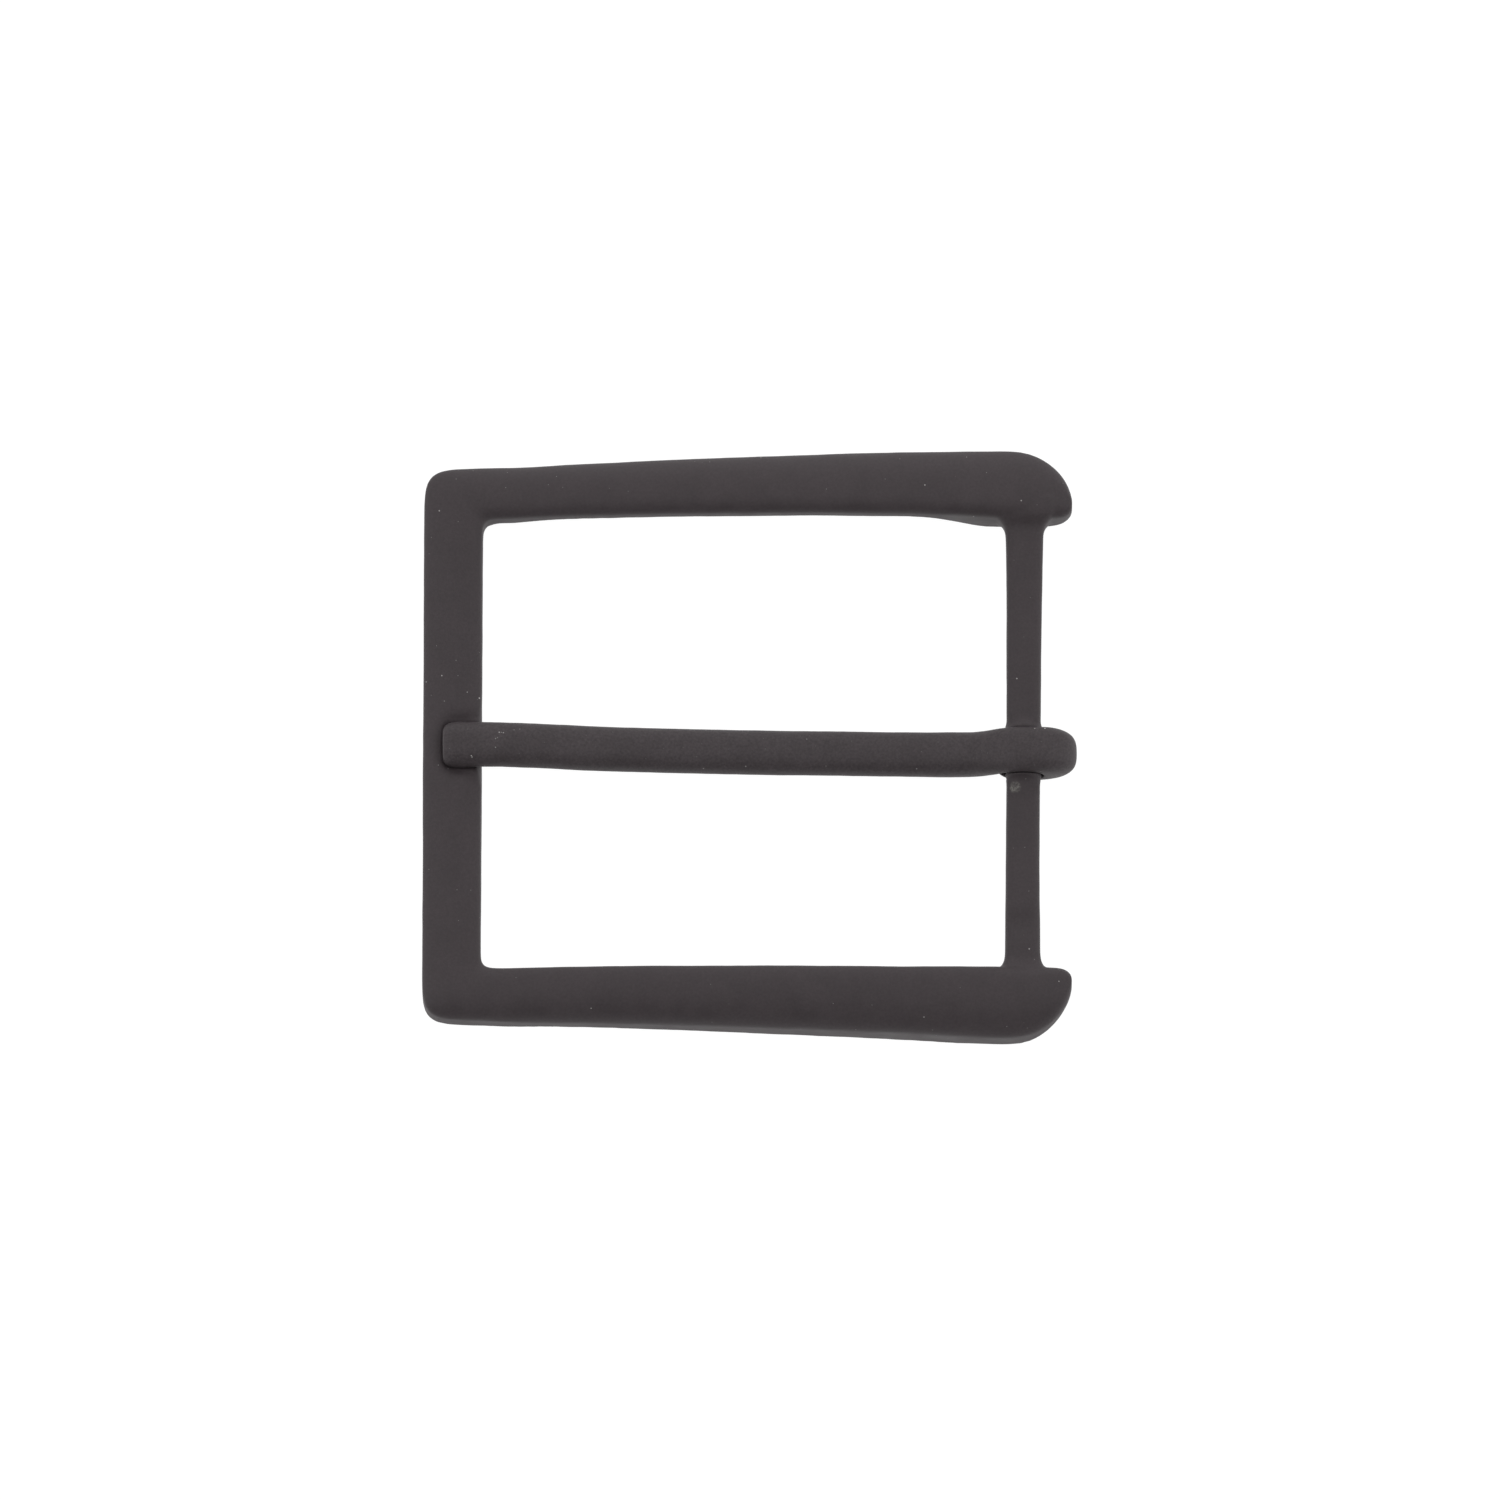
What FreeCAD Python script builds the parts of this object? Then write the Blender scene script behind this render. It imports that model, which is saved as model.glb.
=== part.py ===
import FreeCAD, Part
import os
from math import sin, cos, pi, sqrt, radians, atan2

os.makedirs("parts", exist_ok=True)

# Gentlemen's belt buckle, millimetres, +Z is the outward (front) face.
# Origin: centre of the resting plane (z = 0), X runs from the front bar (-X)
# to the heel bar (+X), Y runs across the strap.

# ---------------------------------------------------------------- dimensions
STRAP_WIDTH = 35.0            # strap the buckle is made for
GAP_HALF = 18.10              # half of the clear opening between the arms
FRONT_OUT = -25.67            # outer face of the front bar
FRONT_IN = -21.05             # inner face of the front bar
ARM_END = 25.34               # rear end of the arms
OUT_HALF_FRONT = 22.16        # half width over the arms at x = -22.6
OUT_HALF_REAR = 23.60         # half width over the arms at x = 19.65
BAR_X, BAR_Z = 21.54, 2.45    # heel bar centre = tongue axis
BAR_H = 2.04                  # thickness of the heel bar (2.7 to 2.9 wide)
EDGE = 0.34                   # softened edge of the casting
BORE_R = 1.60                 # eye of the tongue, runs on the heel bar
SEAT_FLOOR = 2.30             # seat for the tongue tip in the front bar
SEAT_Y_MIN, SEAT_Y_MAX = -2.17, 1.68
SEAT_BACK = -24.18
SEAT_LIP = 2.72               # above this the flanks of the seat lean outwards
SEAT_FLARE = 0.95
TONGUE_W = 3.56               # shank of the tongue
EYE_W = 3.62                  # width over the eye
TONGUE_T = 2.02
TIP_X = -24.10
TIP_Y, EYE_Y = -0.21, -0.72   # the tongue stands very slightly askew on its bar
SEAM = 0.12                   # crimp seam of the eye

V = FreeCAD.Vector


# ---------------------------------------------------------------- helpers
def curve(points, x):
    """Smooth monotone-ish interpolation through (x, value) pairs."""
    pts = sorted(points)
    if x <= pts[0][0]:
        return pts[0][1]
    if x >= pts[-1][0]:
        return pts[-1][1]
    n = len(pts)
    m = []
    for i in range(n):
        if i == 0 or i == n - 1:
            a, b = (0, 1) if i == 0 else (n - 2, n - 1)
            m.append((pts[b][1] - pts[a][1]) / (pts[b][0] - pts[a][0]))
        else:
            d0 = (pts[i][1] - pts[i - 1][1]) / (pts[i][0] - pts[i - 1][0])
            d1 = (pts[i + 1][1] - pts[i][1]) / (pts[i + 1][0] - pts[i][0])
            m.append(0.0 if d0 * d1 <= 0 else 2 * d0 * d1 / (d0 + d1))
    for i in range(n - 1):
        if pts[i][0] <= x <= pts[i + 1][0]:
            h = pts[i + 1][0] - pts[i][0]
            t = (x - pts[i][0]) / h
            return ((2 * t**3 - 3 * t**2 + 1) * pts[i][1] + (t**3 - 2 * t**2 + t) * h * m[i]
                    + (-2 * t**3 + 3 * t**2) * pts[i + 1][1] + (t**3 - t**2) * h * m[i + 1])


def tube(rows):
    """Closed solid skinned over rows of poles: cubic along, periodic cubic around."""
    nu, nv = len(rows), len(rows[0])
    s = Part.BSplineSurface()
    s.buildFromPolesMultsKnots(
        rows, [4] + [1] * (nu - 4) + [4], [1] * (nv + 1),
        [float(i) for i in range(nu - 2)], [float(i) for i in range(nv + 1)],
        False, True, 3, 3)
    side = s.toShape()
    caps = []
    for u in (0.0, float(nu - 3)):
        caps.append(Part.Face(Part.Wire([s.uIso(u).toShape()])))
    shell = Part.Compound([side] + caps)
    shell.sewShape()
    solid = Part.Solid(shell.Shells[0])
    if solid.Volume < 0:
        solid.reverse()
    return solid


def report(name, s):
    b = s.BoundBox
    print("%-10s valid %s solids %d volume %.2f  x %.2f..%.2f y %.2f..%.2f z %.2f..%.2f" % (
        name, s.isValid(), len(s.Solids), s.Volume, b.XMin, b.XMax, b.YMin, b.YMax, b.ZMin, b.ZMax))


# ---------------------------------------------------------------- frame casting
CREST = [(-25.7, 3.28), (-20.0, 3.36), (-15.7, 3.98), (-7.9, 4.86), (0.0, 5.24), (5.0, 5.34),
         (10.0, 5.24), (15.7, 4.92), (19.7, 4.55), (22.5, 4.34), (24.3, 4.05), (25.34, 3.7)]
LOW_OUT = [(-25.7, -0.12), (-20.0, -0.12), (-15.7, 0.62), (-8.0, 1.05), (0.0, 0.92), (8.0, 0.62),
           (13.0, 0.30), (16.3, -0.12), (22.0, -0.12), (22.9, 0.30), (23.7, 0.95), (24.5, 1.65), (25.34, 2.3)]
LOW_IN = [(-25.7, -0.12), (-20.6, -0.12), (-15.7, 1.9), (-7.9, 2.75), (0.0, 3.1), (4.0, 3.25),
          (12.2, 3.1), (14.2, 2.7), (17.0, 0.9), (18.6, -0.12), (23.0, -0.12), (23.9, 0.2), (24.7, 0.9), (25.34, 1.8)]
# total drop of the crown towards the outer and the inner edge
DROP_OUT = [(-21.0, 1.35), (-15.0, 1.68), (0.0, 1.86), (15.0, 1.92), (22.0, 1.72), (25.34, 0.90)]
DROP_IN = [(-21.0, 0.85), (-15.0, 0.92), (0.0, 0.96), (15.0, 0.98), (22.0, 0.95), (25.34, 0.7)]
CROWN_AT = 1.65               # the crest runs this far from the inner edge


def out_y(x):
    y = OUT_HALF_FRONT + (x + 22.6) * (OUT_HALF_REAR - OUT_HALF_FRONT) / 42.25
    if x > 20.2:
        t = min(1.0, (x - 20.2) / (ARM_END - 20.2))
        y = 19.6 + (y - 19.6) * max(0.0, 1 - t**2.1)**0.62
    return y


def in_y(x):
    y = curve([(-20.0, GAP_HALF - 0.06), (-10.0, GAP_HALF), (0.0, GAP_HALF + 0.05),
               (12.0, GAP_HALF + 0.07), (20.0, GAP_HALF - 0.08), (25.34, GAP_HALF - 0.06)], x)
    if x > ARM_END - 1.1:
        t = (x - (ARM_END - 1.1)) / 1.1
        y += 0.75 * (1 - sqrt(max(0.0, 1 - t * t)))
    return y


def section(pin, pout, crest, lo_in, lo_out, d_in, d_out):
    """Crowned section from the inner edge point to the outer edge point: nearly flat, rolled over at both edges."""
    w = sqrt((pout[0] - pin[0])**2 + (pout[1] - pin[1])**2)
    c = min(EDGE, 0.16 * w)
    fc = min(0.42, CROWN_AT / w)
    zi, zo = crest - d_in, crest - d_out
    pts = []

    def add(f, z):
        pts.append(V(pin[0] + (pout[0] - pin[0]) * f, pin[1] + (pout[1] - pin[1]) * f, z))

    def low(f):
        g = f * f * (3 - 2 * f)
        return lo_in + (lo_out - lo_in) * (0.35 * f + 0.65 * g)

    for f in (0.0, c / w, 0.30, 0.52, 0.74, 1 - c / w, 1.0):
        add(f, low(f))
    lo = low(1.0)
    c2 = min(c, (zo - lo) * 0.3)
    add(1.0, lo + c2)
    add(1.0, lo + (zo - lo) * 0.5)
    add(1.0, zo - 0.06)
    for t in (0.995, 0.955, 0.87, 0.75, 0.58, 0.36, 0.12):
        add(fc + (1 - fc) * t, crest - d_out * (0.40 * t * t + 0.60 * (1 - sqrt(1 - t**3.2))))
    for t in (0.20, 0.50, 0.74, 0.91, 0.985):
        add(fc * (1 - t), crest - d_in * (0.06 * t * t + 0.94 * (1 - sqrt(1 - t**2.8))))
    lo = low(0.0)
    c3 = min(c, (zi - lo) * 0.3)
    add(0.0, zi - 0.06)
    add(0.0, lo + (zi - lo) * 0.5)
    add(0.0, lo + c3)
    return pts


def arm_row(x):
    return section((x, in_y(x)), (x, out_y(x)), curve(CREST, x), curve(LOW_IN, x), curve(LOW_OUT, x),
                   curve(DROP_IN, x), curve(DROP_OUT, x))


half = []
for x in (25.34, 25.24, 24.95, 24.4, 23.6, 22.5, 21.2, 19.8, 18.4, 17.0, 15.6, 14.2, 12.4, 10.2, 7.6,
          4.8, 2.0, -0.8, -3.6, -6.4, -9.2, -12.0, -14.6, -16.8, -18.4):
    half.append(arm_row(x))
corner = [((-19.4, 18.04), (-20.4, 22.23)), ((-19.95, 18.03), (-22.3, 22.17)), ((-20.42, 17.99), (-23.75, 22.10)),
          ((-20.76, 17.85), (-24.72, 21.86)), ((-20.95, 17.60), (-25.33, 21.30)), ((-21.03, 17.22), (-25.60, 20.45)),
          ((-21.05, 16.6), (-25.67, 19.2)), ((FRONT_IN, 15.5), (FRONT_OUT, 17.2)), ((FRONT_IN, 13.6), (FRONT_OUT, 14.3))]
for i, (a, b) in enumerate(corner):
    t = i / (len(corner) - 1.0)
    half.append(section(a, b, 3.44 - 0.2 * t, -0.12 + (0.9 * (1 - t)**2), -0.12 + 0.12 * (1 - t)**2,
                        0.96 - 0.10 * t, 1.27 - 0.17 * t))
for y in (11.0, 8.0, 5.0, 2.2):
    half.append(section((FRONT_IN, y), (FRONT_OUT, y), 3.24, -0.12, -0.12, 0.86, 1.10))
mirror = [[V(p.x, -p.y, p.z) for p in row] for row in reversed(half)]
mid = [section((FRONT_IN, 0.0), (FRONT_OUT, 0.0), 3.24, -0.12, -0.12, 0.86, 1.10)]
ring = tube(half + mid + mirror)
report("ring", ring)


# the bar is a touch narrower towards the near arm
BAR_FRONT = [(-19.6, 20.09), (-15.0, 20.10), (-12.0, 20.13), (-8.0, 20.18), (3.0, 20.20), (8.0, 20.20), (15.0, 20.16), (19.6, 20.12)]
BAR_REAR = [(-19.6, 22.86), (-15.0, 22.84), (-12.0, 22.81), (-8.0, 22.80), (3.0, 22.91), (8.0, 22.93), (15.0, 23.06), (19.6, 23.08)]


def bar_row(y, grow=0.0, dip=0.0):
    """Rounded rectangular section of the heel bar; grow gives the fillet into the ears."""
    xa, xb = curve(BAR_FRONT, y) - grow / 2, curve(BAR_REAR, y) + grow / 2
    cx, a, b = (xa + xb) / 2, (xb - xa) / 2, (BAR_H + 0.75 * grow) / 2
    r = min(0.82, b * 0.8)
    q = 0.42 * r
    pts = []
    for sx, sz in ((a, 0), (a, b - r), (a, b - q), (a - q, b), (a - r, b), (0, b), (-a + r, b), (-a + q, b),
                   (-a, b - q), (-a, b - r), (-a, 0), (-a, -b + r), (-a, -b + q), (-a + q, -b), (-a + r, -b),
                   (0, -b), (a - r, -b), (a - q, -b), (a, -b + q), (a, -b + r)):
        pts.append(V(cx + sx, y, BAR_Z + sz - (dip if sz > b * 0.4 else 0.0)))
    return pts


fillet = ((19.6, 2.2), (18.7, 2.1), (18.15, 1.6), (17.85, 0.95), (17.5, 0.32), (17.05, 0.05), (16.4, 0.0), (15.5, 0.0))
bar_rows = [bar_row(y, g) for y, g in fillet]
bar_rows += [bar_row(y) for y in (12.0, 8.0, 4.0, 0.0, -4.0, -8.0, -11.5, -13.0)]
bar_rows += [bar_row(y, 0.0, d) for y, d in ((-13.6, 0.05), (-14.2, 0.2), (-15.0, 0.22), (-15.6, 0.06))]
bar_rows += [bar_row(-y, 0.6 * g) for y, g in reversed(fillet[:-1])]
heel_bar = tube(bar_rows)
report("heel bar", heel_bar)

# shallow seat for the tongue tip, open towards the strap window, flanks leaning outwards
def rounded(x0, y0, y1, z, r):
    """Wire of a rectangle open-ended towards +X, its two far corners rounded."""
    x1 = -19.5
    q = r * (1 - sqrt(0.5))
    e = [Part.LineSegment(V(x1, y0, z), V(x0 + r, y0, z)), Part.Arc(V(x0 + r, y0, z), V(x0 + q, y0 + q, z), V(x0, y0 + r, z)),
         Part.LineSegment(V(x0, y0 + r, z), V(x0, y1 - r, z)), Part.Arc(V(x0, y1 - r, z), V(x0 + q, y1 - q, z), V(x0 + r, y1, z)),
         Part.LineSegment(V(x0 + r, y1, z), V(x1, y1, z)), Part.LineSegment(V(x1, y1, z), V(x1, y0, z))]
    return Part.Wire([g.toShape() for g in e])


SEAT_TOP = 3.9
lean = SEAT_FLARE * (SEAT_TOP - SEAT_LIP)
slot = Part.makeLoft([rounded(SEAT_BACK, SEAT_Y_MIN, SEAT_Y_MAX, SEAT_FLOOR, 0.75),
                      rounded(SEAT_BACK, SEAT_Y_MIN, SEAT_Y_MAX, SEAT_TOP, 0.75)], True, True)
dish = Part.makeLoft([rounded(SEAT_BACK, SEAT_Y_MIN, SEAT_Y_MAX, SEAT_LIP, 0.75),
                      rounded(SEAT_BACK - 0.7 * lean, SEAT_Y_MIN - 0.8 * lean, SEAT_Y_MAX + 1.1 * lean, SEAT_TOP, 0.75 + lean)], True, True)
# the inner edge of the front bar swells where it carries the seat
swell = [(-0.7, -2.4), (0.0, -2.4), (0.12, -2.16), (0.24, -1.98), (0.30, -1.7), (0.30, 1.72), (0.24, 2.0), (0.12, 2.2), (0.0, 2.5), (-0.7, 2.5)]
pad = Part.Face(Part.makePolygon([V(FRONT_IN + px, py, 0.3) for px, py in swell + swell[:1]])).extrude(V(0, 0, 2.6))
# shoulders on the heel bar at both sides of the eye
shoulders = []
for side, y0 in ((1, EYE_Y + EYE_W / 2 + 0.15), (-1, EYE_Y - EYE_W / 2 - 0.05)):
    shoulders.append(Part.makeCone(1.60, 1.40, 0.14, V(BAR_X, y0, BAR_Z), V(0, side, 0)))
    shoulders.append(Part.makeCone(1.40, 1.02, 0.42, V(BAR_X, y0 + side * 0.14, BAR_Z), V(0, side, 0)))
below = Part.makeBox(80, 80, 5, V(-40, -40, -5))
frame = ring.fuse([heel_bar, pad] + shoulders).removeSplitter().cut(slot.fuse(dish)).cut(below)
frame = frame.Solids[0] if len(frame.Solids) == 1 else frame
report("frame", frame)

# ---------------------------------------------------------------- tongue
# half-round section swept over (base point, outward normal): flat on its underside
LOW_TONGUE = [(-24.1, 2.50), (-22.5, 2.40), (-20.5, 2.36), (-18.9, 2.34), (-17.3, 2.18), (-15.7, 1.92), (-13.6, 1.58),
              (-11.0, 1.28), (-7.9, 1.07), (-4.0, 0.90), (0.0, 0.80), (4.0, 0.80), (8.0, 0.86), (12.0, 0.94),
              (15.0, 1.08), (16.8, 1.36)]


def tongue_y(x):
    return TIP_Y + (EYE_Y - TIP_Y) * min(1.0, max(0.0, (x + 22.0) / 40.0))


def tongue_row(px, pz, nx, nz, w, t, y, wall=0.36, k=2.9, tuck=0.0):
    """Half-round section: flat base at (px, pz), crown t above it along (nx, nz), sides tucked in below."""
    h = t * wall
    pts = []

    def add(s, d):
        pts.append(V(px + nx * d, y + s, pz + nz * d))

    a = w / 2
    c = min(0.22, 0.2 * a)
    b = a - tuck
    add(-b, 0)
    add(-b + c, 0)
    add(-a * 0.35, 0)
    add(a * 0.35, 0)
    add(b - c, 0)
    add(b, 0)
    add(b + tuck * 0.35, min(c, h * 0.5))
    add(a, h * 0.9)
    for f in (0.985, 0.90, 0.74, 0.52, 0.27, 0.0, -0.27, -0.52, -0.74, -0.90, -0.985):
        add(a * f, h + (t - h) * sqrt(max(0.0, 1 - abs(f)**k)))
    add(-a, h * 0.9)
    add(-b - tuck * 0.35, min(c, h * 0.5))
    return pts


rows = []
tip = [(0.0, 0.62, 0.66, 0.42), (0.02, 0.72, 0.78, 0.30), (0.22, 0.86, 0.90, 0.10), (0.55, 0.95, 0.97, 0.03),
       (1.0, 1.0, 1.0, 0.0), (1.6, 1.0, 1.0, 0.0)]
for dx, fw, ft, lift in tip:
    x = TIP_X + dx
    rows.append(tongue_row(x, curve(LOW_TONGUE, x) + lift * 0.5, 0, 1, (TONGUE_W + 0.14) * fw, TONGUE_T * ft * 0.94, tongue_y(x) - 0.05,
                           tuck=0.05))
for x in (-21.5, -20.0, -18.6, -17.3, -15.7, -13.9, -11.8, -9.4, -6.6, -3.4, 0.0, 3.4, 6.8, 10.0, 12.8, 15.0, 16.4):
    e = 0.05
    sl = (curve(LOW_TONGUE, x + e) - curve(LOW_TONGUE, x - e)) / (2 * e)
    n = sqrt(1 + sl * sl)
    rows.append(tongue_row(x, curve(LOW_TONGUE, x), -sl / n, 1 / n,
                           TONGUE_W, TONGUE_T, tongue_y(x), tuck=0.16 if x < 14 else 0.06))
# the eye: base follows the bore, crown outside; thick at the back
R0 = BORE_R - 0.12
for px, pz, nx, nz, t, w in ((17.6, 1.58, -0.22, 0.975, 2.00, 3.47), (18.75, 2.12, -0.34, 0.940, 1.92, 3.50),
                             (19.72, 3.02, -0.44, 0.898, 1.44, 3.54)):
    rows.append(tongue_row(px, pz, nx, nz, w, t, EYE_Y, wall=0.32))
EYE = [  # angle (deg, 90 = top), base radius, thickness, width
    (116, R0 + 0.20, 1.04, 3.58), (97, R0 + 0.03, 1.02, 3.60), (77, R0, 1.16, EYE_W),
    (55, R0, 1.60, EYE_W), (34, R0, 2.20, EYE_W), (14, R0, 2.72, EYE_W), (-6, R0, 2.86, EYE_W), (-26, R0, 2.46, EYE_W),
    (-46, R0, 1.70, EYE_W), (-66, R0, 1.10, EYE_W), (-86, R0, 0.86, EYE_W - 0.04), (-106, R0, 0.82, EYE_W - 0.08),
    (-128, R0, 0.84, EYE_W - 0.14), (-150, R0, 0.84, EYE_W - 0.2), (-166, R0, 0.80, EYE_W - 0.24), (-174, R0, 0.76, EYE_W - 0.26)]
for ang, r, t, w in EYE:
    a = radians(ang)
    rear = 1.0 if -50 < ang < 40 else 0.0
    rows.append(tongue_row(BAR_X + r * cos(a), BAR_Z + r * sin(a), cos(a), sin(a), w + 0.10 * rear, t,
                           EYE_Y + 0.05 * rear, wall=0.30, k=3.0 + 0.7 * rear))
blank = tube(rows)
report("blank", blank)
bore = Part.makeCylinder(BORE_R, 12, V(BAR_X, EYE_Y - 6, BAR_Z), V(0, 1, 0))
tongue = blank.cut(bore)
report("tongue", tongue)
try:
    blank.check(True)
    print("blank: no self-intersection found")
except Exception as err:
    print("blank check:", err)
print("frame x tongue overlap %.5f" % frame.common(tongue).Volume)
for ang in (2, 20, 60, 100, 140, 180):
    t = tongue.copy()
    t.rotate(V(BAR_X, 0, BAR_Z), V(0, 1, 0), ang)
    c = frame.common(t)
    print("open %d: overlap %.5f z min %.3f" % (ang, c.Volume, t.BoundBox.ZMin))

frame.exportStep("parts/frame.step")
tongue.exportStep("parts/tongue.step")
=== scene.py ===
import math
import bpy
import numpy as np
from mathutils import Vector, Matrix, noise


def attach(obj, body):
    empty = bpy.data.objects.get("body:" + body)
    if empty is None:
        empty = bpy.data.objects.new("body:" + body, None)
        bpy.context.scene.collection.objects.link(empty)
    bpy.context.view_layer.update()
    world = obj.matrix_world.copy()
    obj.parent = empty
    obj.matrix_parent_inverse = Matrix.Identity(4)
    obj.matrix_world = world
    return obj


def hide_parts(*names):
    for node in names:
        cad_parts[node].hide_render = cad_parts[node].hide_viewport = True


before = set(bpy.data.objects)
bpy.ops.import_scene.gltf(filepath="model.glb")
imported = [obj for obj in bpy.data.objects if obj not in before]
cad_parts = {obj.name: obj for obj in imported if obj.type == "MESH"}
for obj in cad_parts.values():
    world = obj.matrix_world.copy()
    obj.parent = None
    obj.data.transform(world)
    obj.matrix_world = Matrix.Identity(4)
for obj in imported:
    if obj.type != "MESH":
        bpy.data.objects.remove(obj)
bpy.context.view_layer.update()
scene = bpy.context.scene
MM = 0.001


# ------------------------------------------------------------------ mesh tools
def smoothstep(a, b, x):
    t = np.clip((x - a) / (b - a), 0.0, 1.0)
    return t * t * (3.0 - 2.0 * t)


def coords(me):
    co = np.empty(len(me.vertices) * 3)
    me.vertices.foreach_get("co", co)
    return co.reshape(-1, 3)


def set_coords(me, co):
    me.vertices.foreach_set("co", np.ascontiguousarray(co, dtype=np.float32).ravel())
    me.update()


def normals(me):
    no = np.empty(len(me.vertices) * 3, dtype=np.float32)
    me.vertex_normals.foreach_get("vector", no)
    return no.reshape(-1, 3).astype(float)


def edges(me):
    e = np.empty(len(me.edges) * 2, dtype=np.int64)
    me.edges.foreach_get("vertices", e)
    return e.reshape(-1, 2)


def relax(co, e, steps, weight=None, lam=0.5, mu=-0.53):
    """Taubin smoothing: takes the stair steps off without shrinking the form."""
    n = len(co)
    deg = np.bincount(e.ravel(), minlength=n).astype(float)[:, None]
    w = 1.0 if weight is None else weight[:, None]
    for k in range(steps * 2):
        s = np.zeros_like(co)
        for c in range(3):
            s[:, c] = (np.bincount(e[:, 0], co[e[:, 1], c], n) + np.bincount(e[:, 1], co[e[:, 0], c], n))
        f = lam if (k % 2 == 0 or mu == 0) else mu
        co = co + w * f * (s / deg - co)
    return co


def cast_copy(name, node, voxel):
    """A fine, even skin over a CAD solid, worked in millimetres."""
    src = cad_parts[node]
    me = src.data.copy()
    me.name = name
    me.materials.clear()
    me.transform(Matrix.Scale(1000.0, 4))
    ob = bpy.data.objects.new(name, me)
    scene.collection.objects.link(ob)
    mod = ob.modifiers.new("skin", "REMESH")
    mod.mode = "VOXEL"
    mod.voxel_size = voxel
    mod.adaptivity = 0.0
    mod.use_smooth_shade = True
    dg = bpy.context.evaluated_depsgraph_get()
    new = bpy.data.meshes.new_from_object(ob.evaluated_get(dg))
    ob.modifiers.clear()
    ob.data = new
    new.name = name
    return ob


def field(co, scale, seed, depth=2):
    """Smooth 3-D noise per vertex, about -1..1."""
    off = Vector((seed * 7.31, seed * 3.17, seed * 5.77))
    return np.array([noise.fractal(Vector(p) * scale + off, 1.0, 2.0, depth) for p in co])


def finish_mesh(ob):
    me = ob.data
    for p in me.polygons:
        p.use_smooth = True
    me.transform(Matrix.Scale(0.001, 4))
    me.update()


# ------------------------------------------------------------------ frame casting
body = cast_copy("frame_casting", "frame", 0.175)
me = body.data
co, e = coords(me), edges(me)
off = co[:, 1] + 0.72
hub = np.hypot(co[:, 0] - 21.54, co[:, 2] - 2.45)
rim = (1 - smoothstep(1.75, 2.1, hub)) * (1 - smoothstep(2.04, 2.16, np.abs(off))) * smoothstep(1.70, 1.84, np.abs(off))
co = relax(co, e, 6, weight=1 - rim)
x, y, z = co.T
# the seat for the tongue tip is a soft dish, not a milled pocket
near = (1 - smoothstep(0.25, 0.9, np.hypot(np.maximum(np.abs(x + 22.9) - 1.7, 0), np.maximum(np.abs(y + 0.24) - 2.35, 0)))) * smoothstep(1.5, 2.1, z)
co = relax(co, e, 16, weight=near, mu=0)
# its floor rises to the tongue's flanks all round
x, y, z = co.T
inset = np.minimum(x + 24.10, 1.85 - np.abs(y + 0.26))
rise = (2.86 - 0.56 * smoothstep(-0.05, 0.35, inset)) - 0.56 * smoothstep(-21.5, -21.1, x)
well = (x < -20.9) & (x > -24.5) & (np.abs(y + 0.26) < 2.2) & (z > 2.0) & (z < rise)
co[:, 2] = np.where(well, rise, z)
co = relax(co, e, 4, weight=near, mu=0)
# the shoulders beside the eye flow out of the bar and close up to it
near = (1 - smoothstep(1.8, 2.4, hub)) * smoothstep(2.06, 2.2, np.abs(off)) * (1 - smoothstep(2.7, 3.3, np.abs(off)))
co = relax(co, e, 5, weight=near, mu=0)
out = np.stack([co[:, 0] - 21.54, np.zeros(len(co)), co[:, 2] - 2.45], 1) / np.maximum(hub, 0.1)[:, None]
up = smoothstep(0.35, 0.9, (co[:, 2] - 2.45) / np.maximum(hub, 0.1))
co = co + out * ((0.20 * up - 0.08) * rim * smoothstep(1.2, 1.5, hub))[:, None]
co[:, 1] -= np.where(off > 0, 0.10, -0.035) * rim
set_coords(me, co)
no = normals(me)
# hand of the casting: very slow unevenness of a few hundredths of a millimetre
slow = field(co, 0.16, 3) * 0.03 + field(co, 0.55, 5) * 0.010
keep = smoothstep(0.02, 0.35, co[:, 2])                      # the resting face stays flat
on_bar = np.abs(co[:, 0] - 21.5) < 2.2
clear = np.where(on_bar & (np.abs(co[:, 1]) < 4.0), 0.0, 1.0)  # the journal under the eye stays true
co = co + no * (slow * keep * clear)[:, None]
# chafed lump beside the eye, where coat has broken away
d = np.linalg.norm(co - np.array([20.86, -3.62, 3.42]), axis=1)
lump = (1 - smoothstep(0.15, 0.62, d))
grit = np.zeros(len(co))
idx = np.flatnonzero(lump > 0)
grit[idx] = field(co[idx], 4.5, 9, 3)
co = co + no * (lump * (0.05 + 0.11 * grit))[:, None]
co[:, 2] = np.maximum(co[:, 2], 0.0)
set_coords(me, co)
finish_mesh(body)
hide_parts("frame")
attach(body, "frame")

# ------------------------------------------------------------------ tongue
tongue = cast_copy("tongue_casting", "tongue", 0.1)
me = tongue.data
co, e = coords(me), edges(me)
co = relax(co, e, 5)
set_coords(me, co)
no = normals(me)
hub = np.hypot(co[:, 0] - 21.54, co[:, 2] - 2.45)
free = smoothstep(1.7, 2.1, hub)                              # the bore stays round
slow = field(co, 0.3, 11) * 0.022 + field(co, 1.1, 13) * 0.008
co = co + no * (slow * free)[:, None]
set_coords(me, co)
finish_mesh(tongue)
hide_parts("tongue")
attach(tongue, "tongue")


# ------------------------------------------------------------------ materials
def new(nt, kind, **sockets):
    n = nt.nodes.new(kind)
    for k, v in sockets.items():
        n.inputs[k].default_value = v
    return n


def math_node(nt, op, a, b=None, clamp=False):
    n = nt.nodes.new("ShaderNodeMath")
    n.operation = op
    n.use_clamp = clamp
    for i, v in enumerate((a, b)):
        if v is None:
            continue
        if hasattr(v, "is_linked"):
            nt.links.new(v, n.inputs[i])
        else:
            n.inputs[i].default_value = v
    return n.outputs[0]


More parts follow.
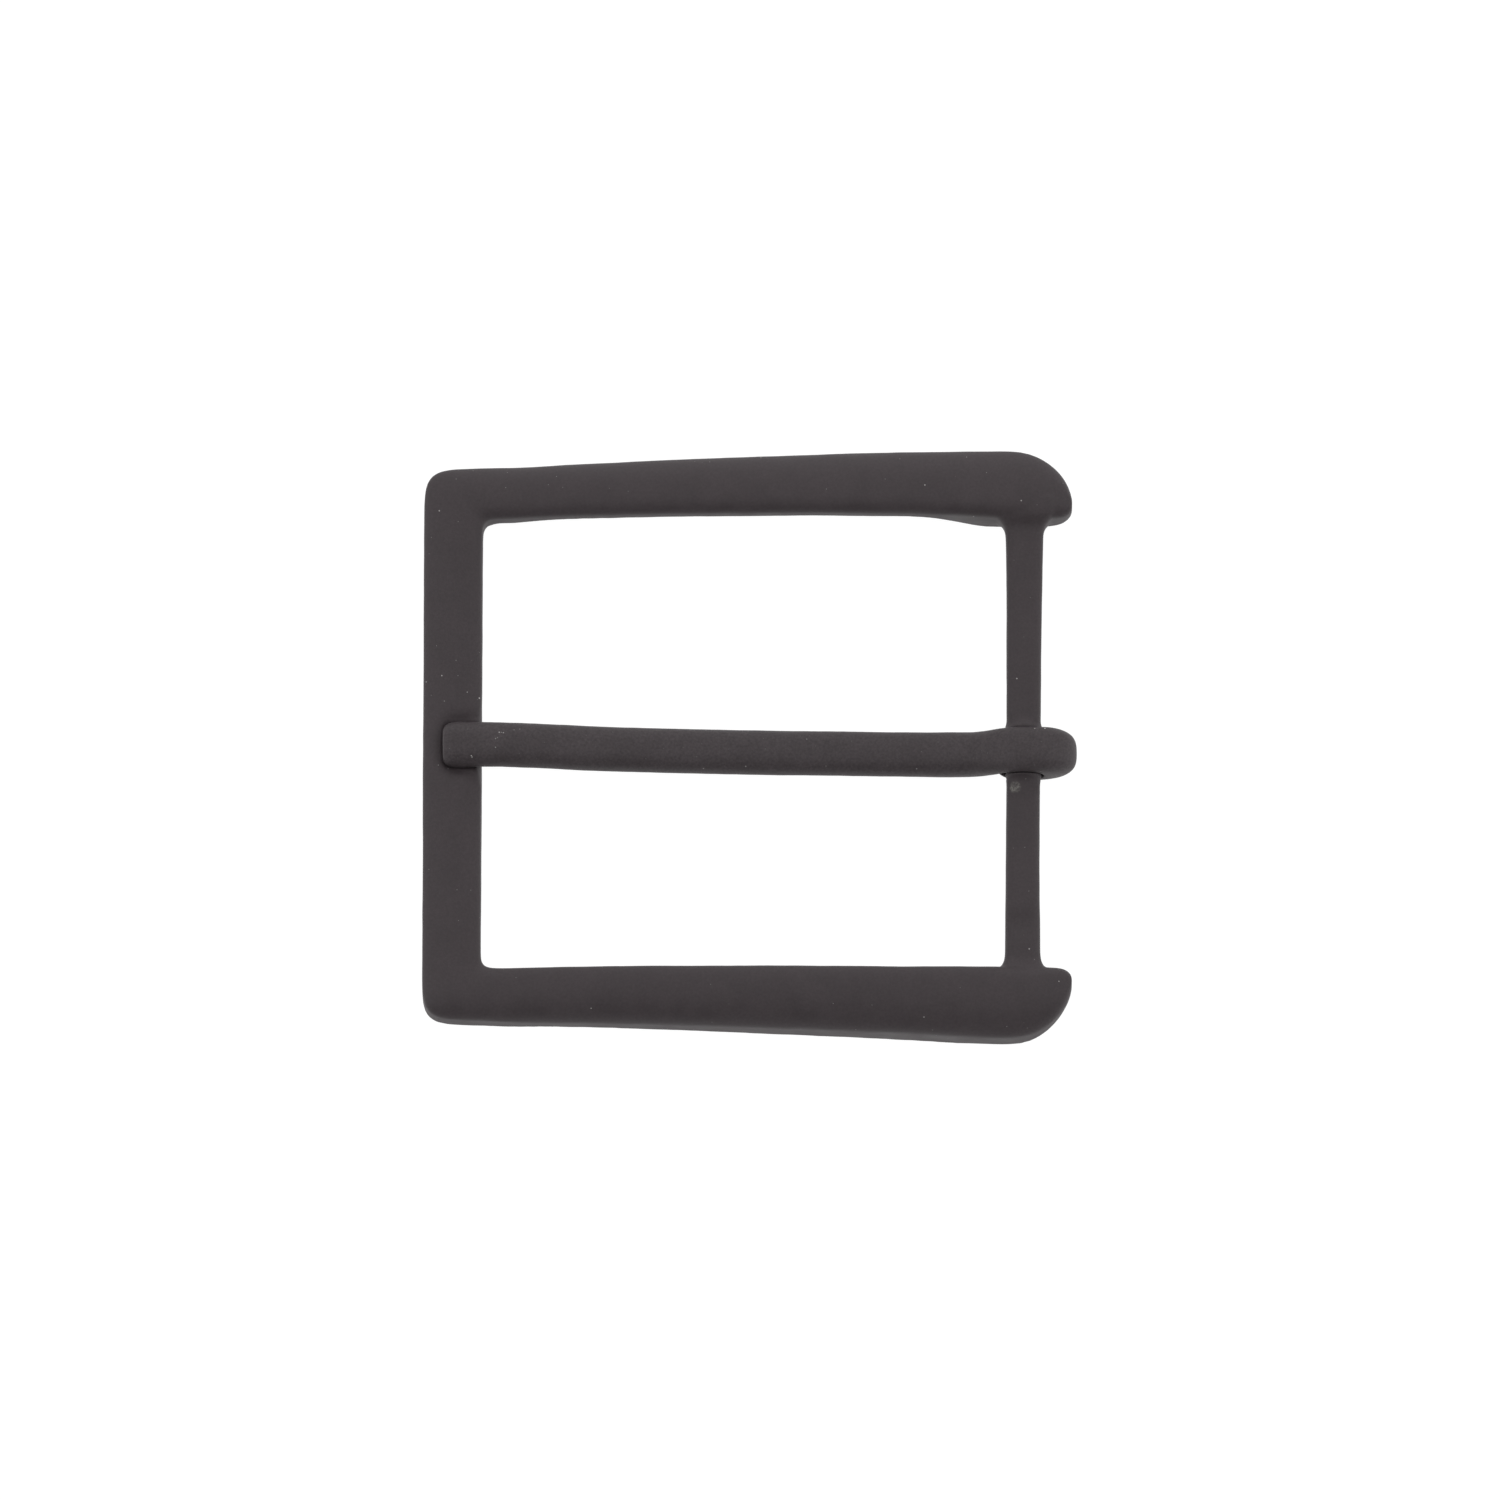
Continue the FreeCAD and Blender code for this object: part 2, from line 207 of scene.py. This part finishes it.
def remap(nt, v, lo, hi, to_lo, to_hi, smooth=True):
    n = nt.nodes.new("ShaderNodeMapRange")
    n.interpolation_type = "SMOOTHSTEP" if smooth else "LINEAR"
    nt.links.new(v, n.inputs["Value"])
    n.inputs["From Min"].default_value = lo
    n.inputs["From Max"].default_value = hi
    n.inputs["To Min"].default_value = to_lo
    n.inputs["To Max"].default_value = to_hi
    return n.outputs["Result"]


def mix(nt, f, a, b):
    n = nt.nodes.new("ShaderNodeMix")
    n.data_type = "RGBA"
    nt.links.new(f, n.inputs["Factor"])
    for s, v in ((n.inputs["A"], a), (n.inputs["B"], b)):
        if hasattr(v, "is_linked"):
            nt.links.new(v, s)
        else:
            s.default_value = (*v, 1.0)
    return n.outputs["Result"]


def coat(name, dark, light, rough, dust, faint, grain, flecks, spot=None):
    """Matte warm-black coat: fine spray grain, slight mottling, dust specks.

    dust and faint are (cell mm, radius mm, brightness) of two random populations;
    flecks are single specks (x, y, radius, brightness) in mm."""
    m = bpy.data.materials.new(name)
    m.use_nodes = True
    nt = m.node_tree
    nt.nodes.clear()
    out = nt.nodes.new("ShaderNodeOutputMaterial")
    bsdf = nt.nodes.new("ShaderNodeBsdfPrincipled")
    nt.links.new(bsdf.outputs[0], out.inputs["Surface"])
    pos = nt.nodes.new("ShaderNodeNewGeometry").outputs["Position"]
    tex = nt.nodes.new("ShaderNodeTexCoord").outputs["Object"]

    def noise_tex(scale, detail=3.0, rough_=0.55):
        n = new(nt, "ShaderNodeTexNoise", Scale=scale, Detail=detail, Roughness=rough_)
        nt.links.new(tex, n.inputs["Vector"])
        return n.outputs["Fac"]

    mottle = noise_tex(420.0, 3.0)
    fine = noise_tex(5200.0, 2.0, 0.6)
    peel = noise_tex(1500.0, 2.0, 0.5)
    c = mix(nt, remap(nt, mottle, 0.3, 0.7, 0.0, 1.0), dark, light)
    vary = remap(nt, fine, 0.25, 0.75, 1.0 - 0.11 * grain, 1.0 + 0.11 * grain, False)
    hsv = nt.nodes.new("ShaderNodeHueSaturation")
    nt.links.new(vary, hsv.inputs["Value"])
    nt.links.new(c, hsv.inputs["Color"])
    c = hsv.outputs["Color"]
    height = math_node(nt, "ADD", math_node(nt, "MULTIPLY", fine, grain), math_node(nt, "MULTIPLY", peel, 0.9))
    rgh = remap(nt, mottle, 0.25, 0.75, rough - 0.05, rough + 0.06)
    # dust: small pale specks, held by the grain of the coat
    for k, (cell, r, bright) in enumerate((dust, faint)):
        vo = nt.nodes.new("ShaderNodeTexVoronoi")
        vo.voronoi_dimensions = "3D"
        vo.feature = "F1"
        vo.inputs["Scale"].default_value = 1.0 / (cell * MM)
        shift = nt.nodes.new("ShaderNodeVectorMath")
        shift.operation = "ADD"
        shift.inputs[1].default_value = (0.0137 * (k + 1), 0.0071 * (k + 1), 0.0033)
        nt.links.new(tex, shift.inputs[0])
        nt.links.new(shift.outputs[0], vo.inputs["Vector"])
        q = r / cell
        speck = remap(nt, vo.outputs["Distance"], q * 0.55, q, 1.0, 0.0)
        c = mix(nt, speck, c, (bright, bright * 0.96, bright * 0.95))
        height = math_node(nt, "ADD", height, math_node(nt, "MULTIPLY", speck, 0.8))
    plan = nt.nodes.new("ShaderNodeVectorMath")
    plan.operation = "MULTIPLY"
    nt.links.new(tex, plan.inputs[0])
    plan.inputs[1].default_value = (1.0, 1.0, 0.0)
    for fx, fy, fr, fb in flecks:
        dv = nt.nodes.new("ShaderNodeVectorMath")
        dv.operation = "DISTANCE"
        nt.links.new(plan.outputs[0], dv.inputs[0])
        dv.inputs[1].default_value = (fx * MM, fy * MM, 0.0)
        c = mix(nt, remap(nt, dv.outputs["Value"], fr * 0.45 * MM, fr * MM, 1.0, 0.0), c, (fb, fb * 0.97, fb * 0.95))
    if spot:
        dv = nt.nodes.new("ShaderNodeVectorMath")
        dv.operation = "DISTANCE"
        nt.links.new(tex, dv.inputs[0])
        dv.inputs[1].default_value = [v * MM for v in spot[:3]]
        reach = remap(nt, dv.outputs["Value"], spot[3] * 0.45 * MM, spot[3] * MM, 1.0, 0.0)
        gn = noise_tex(4200.0, 3.0, 0.7)
        bare = math_node(nt, "MULTIPLY", reach, remap(nt, gn, 0.38, 0.62, 0.12, 0.85))
        c = mix(nt, bare, c, (0.19, 0.185, 0.17))
        nt.links.new(math_node(nt, "MULTIPLY", bare, 0.5), bsdf.inputs["Metallic"])
        r2 = nt.nodes.new("ShaderNodeMix")
        r2.data_type = "FLOAT"
        nt.links.new(bare, r2.inputs["Factor"])
        nt.links.new(rgh, r2.inputs["A"])
        r2.inputs["B"].default_value = 0.38
        rgh = r2.outputs["Result"]
        height = math_node(nt, "ADD", height, math_node(nt, "MULTIPLY", math_node(nt, "MULTIPLY", reach, gn), 1.6))
    nt.links.new(c, bsdf.inputs["Base Color"])
    nt.links.new(rgh, bsdf.inputs["Roughness"])
    bump = nt.nodes.new("ShaderNodeBump")
    bump.inputs["Strength"].default_value = 0.55
    bump.inputs["Distance"].default_value = 0.000012
    nt.links.new(height, bump.inputs["Height"])
    nt.links.new(bump.outputs["Normal"], bsdf.inputs["Normal"])
    bsdf.inputs["Specular IOR Level"].default_value = 0.32
    bsdf.inputs["IOR"].default_value = 1.5
    return m


frame_mat = coat("coat_frame", (0.0450, 0.0366, 0.0400), (0.0525, 0.0430, 0.0468), 0.60,
                 (1.8, 0.070, 0.34), (1.05, 0.048, 0.17), 1.0,
                 [(-21.25, 3.56, 0.065, 0.55), (-22.2, 3.95, 0.06, 0.28), (-24.45, -1.85, 0.06, 0.18),
                  (-24.0, 3.25, 0.06, 0.18), (19.2, -17.7, 0.07, 0.45), (21.0, 5.1, 0.07, 0.35)],
                 spot=(20.86, -3.62, 3.5, 0.58))
tongue_mat = coat("coat_tongue", (0.0470, 0.0388, 0.0420), (0.0560, 0.0468, 0.0505), 0.58,
                  (1.45, 0.070, 0.24), (0.62, 0.046, 0.105), 2.3,
                  [(-19.66, 0.50, 0.065, 0.42), (-19.34, 0.47, 0.06, 0.34), (-19.50, 0.50, 0.045, 0.30),
                   (-19.95, -0.02, 0.065, 0.22), (-19.8, 0.06, 0.06, 0.17), (-19.95, -0.72, 0.06, 0.26),
                   (-21.85, -1.36, 0.055, 0.50), (-21.79, -1.46, 0.05, 0.45), (-18.5, 0.72, 0.055, 0.18),
                   (-18.05, 0.80, 0.055, 0.18), (23.2, 0.9, 0.07, 0.50), (22.4, 0.85, 0.06, 0.30)])
body.data.materials.clear()
body.data.materials.append(frame_mat)
tongue.data.materials.clear()
tongue.data.materials.append(tongue_mat)

# ------------------------------------------------------------------ stage
fl = bpy.data.meshes.new("floor")
s = 1.5
fl.from_pydata([(-s, -s, 0), (s, -s, 0), (s, s, 0), (-s, s, 0)], [], [(0, 1, 2, 3)])
floor = bpy.data.objects.new("floor", fl)
floor.location.z = -0.00001
scene.collection.objects.link(floor)
fm = bpy.data.materials.new("pale_floor")
fm.use_nodes = True
b = fm.node_tree.nodes["Principled BSDF"]
b.inputs["Base Color"].default_value = (0.12, 0.12, 0.12, 1)
b.inputs["Roughness"].default_value = 0.9
b.inputs["Specular IOR Level"].default_value = 0.1
b.inputs["Emission Color"].default_value = (1, 1, 1, 1)
b.inputs["Emission Strength"].default_value = 0.97
fl.materials.append(fm)

w = bpy.data.worlds.new("studio")
scene.world = w
w.use_nodes = True
bg = w.node_tree.nodes["Background"]
bg.inputs["Color"].default_value = (1.0, 0.99, 0.985, 1)
bg.inputs["Strength"].default_value = 0.30


def softbox(name, loc, size, power):
    L = bpy.data.lights.new(name, "AREA")
    L.shape = "RECTANGLE"
    L.size, L.size_y = size
    L.energy = power
    o = bpy.data.objects.new(name, L)
    o.location = loc
    o.rotation_euler = (Vector((0, 0, 0)) - Vector(loc)).to_track_quat("-Z", "Y").to_euler()
    scene.collection.objects.link(o)
    return o


softbox("back_low", (0.0, 0.60, 0.20), (0.9, 0.30), 1.06)
softbox("back_mid", (0.0, 0.42, 0.46), (0.9, 0.40), 0.84)
softbox("top", (0.0, -0.02, 0.9), (0.8, 0.8), 0.84)
softbox("left", (-0.5, 0.0, 0.35), (0.35, 0.8), 1.17)
softbox("right", (0.5, 0.0, 0.35), (0.35, 0.8), 1.26)

# ------------------------------------------------------------------ camera
TILT, ROLL, DIST, PX_PER_MM = math.radians(12.07), math.radians(-0.145), 2.40, 12.7215
c = Vector((0, -math.sin(TILT), math.cos(TILT)))
r0, u0 = Vector((1, 0, 0)), Vector((0, math.cos(TILT), math.sin(TILT)))
r = r0 * math.cos(ROLL) - u0 * math.sin(ROLL)
u = r0 * math.sin(ROLL) + u0 * math.cos(ROLL)
aim = Vector((0, 0, 0.0025)) + r * (0.49 / PX_PER_MM * MM) - u * (6.14 / PX_PER_MM * MM)
cam_data = bpy.data.cameras.new("camera")
cam = bpy.data.objects.new("camera", cam_data)
rot = Matrix((r, u, c)).transposed()
cam.matrix_world = Matrix.Translation(aim + c * DIST) @ rot.to_4x4()
cam_data.sensor_width = 36.0
cam_data.sensor_fit = "HORIZONTAL"
cam_data.lens = 36.0 * PX_PER_MM * DIST * 1000 / 1500.0
cam_data.clip_start, cam_data.clip_end = 0.05, 20.0
scene.collection.objects.link(cam)
scene.camera = cam

scene.view_settings.view_transform = "Standard"
scene.view_settings.look = "None"
